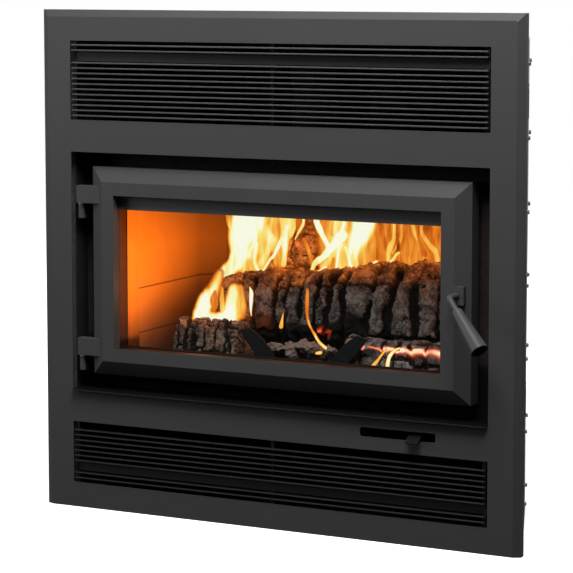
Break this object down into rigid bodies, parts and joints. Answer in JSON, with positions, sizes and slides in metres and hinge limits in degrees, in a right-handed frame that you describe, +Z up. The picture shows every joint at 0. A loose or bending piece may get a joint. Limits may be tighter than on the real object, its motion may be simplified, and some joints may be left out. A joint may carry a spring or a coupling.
{
  "type": "fireplace insert",
  "caption": "Wood-burning fireplace insert: louvred steel faceplate, hinged glass door with a turning handle, air lever, brick-lined firebox with logs, and a tapered convection jacket.",
  "frame": {"origin": "on the hearth plane under the flue's axis, at the insert's middle", "axes": "+X to the right seen from the room, +Y into the wall, +Z up"},
  "size_m": [1.03, 0.5257, 1],
  "materials": {
    "black_paint": "satin charcoal high-temperature paint on sheet steel",
    "coated_sheet": "aluminium-zinc coated sheet steel",
    "firebox_steel": "heat-blackened mild steel",
    "firebrick": "matt fired refractory brick",
    "screw_steel": "blackened steel fasteners",
    "charred_wood": "charred split firewood",
    "ceramic_glass": "clear glass-ceramic",
    "glass_fibre": "graphite-coated glass-fibre rope and tape"
  },
  "bodies": {
    "root": {"faceplate": "black_paint", "faceplate_brackets": "black_paint", "bracket_screws": "screw_steel", "upper_grille_slats": "black_paint", "upper_grille_band": "black_paint", "upper_grille_combs": "black_paint", "lower_grille_slats": "black_paint", "lower_grille_band": "black_paint", "lower_grille_combs": "black_paint", "jacket_left": "coated_sheet", "jacket_right": "coated_sheet", "jacket_back": "coated_sheet", "jacket_top": "coated_sheet", "base_pan": "coated_sheet", "recess_liner": "black_paint", "firebox_front": "black_paint", "ash_lip": "black_paint", "firebox_shell": "firebox_steel", "firebox_floor": "firebox_steel", "firebox_roof": "firebox_steel", "left_bricks": "firebrick", "right_bricks": "firebrick", "back_bricks": "firebrick", "floor_bricks": "firebrick", "brick_clips": "firebox_steel", "air_tubes": "firebox_steel", "baffle_boards": "firebrick", "firebox_stands": "coated_sheet", "flue_collar": "firebox_steel", "flue_flange": "firebox_steel", "flue_seal_plate": "coated_sheet", "hinge_brackets": "black_paint", "hinge_pins": "screw_steel", "hinge_washers": "screw_steel", "latch_keeper": "firebox_steel", "air_slide_rails": "firebox_steel", "andirons": "firebox_steel", "back_log": "charred_wood", "rear_log": "charred_wood", "front_left_log": "charred_wood", "front_right_log": "charred_wood", "charred_chunk": "charred_wood"},
    "door": {"door_frame": "black_paint", "door_liner": "black_paint", "door_liner_screws": "screw_steel", "door_glass": "ceramic_glass", "glass_tape": "glass_fibre", "glass_band": "black_paint", "door_rope_seal": "glass_fibre", "hinge_blocks": "black_paint", "handle_boss": "black_paint", "handle_bushing": "black_paint"},
    "handle": {"handle_rod": "black_paint", "handle_grip": "black_paint", "grip_screw": "screw_steel", "latch_cam": "firebox_steel"},
    "air_control": {"air_lever": "black_paint", "air_shutter": "firebox_steel"}
  },
  "joints": [
    {"name": "door_swing", "type": "hinge", "parent": "root", "child": "door", "pos_m": [-0.434, -0.247, 0.48], "axis": [0, 0, -1], "range_deg": [0, 115]},
    {"name": "handle_turn", "type": "hinge", "parent": "door", "child": "handle", "pos_m": [0.3849, -0.26, 0.4795], "axis": [0, -1, 0], "range_deg": [0, 90]},
    {"name": "air_slide", "type": "slide", "parent": "root", "child": "air_control", "axis": [1, 0, 0], "range_m": [-0.098, 0.026]}
  ]
}
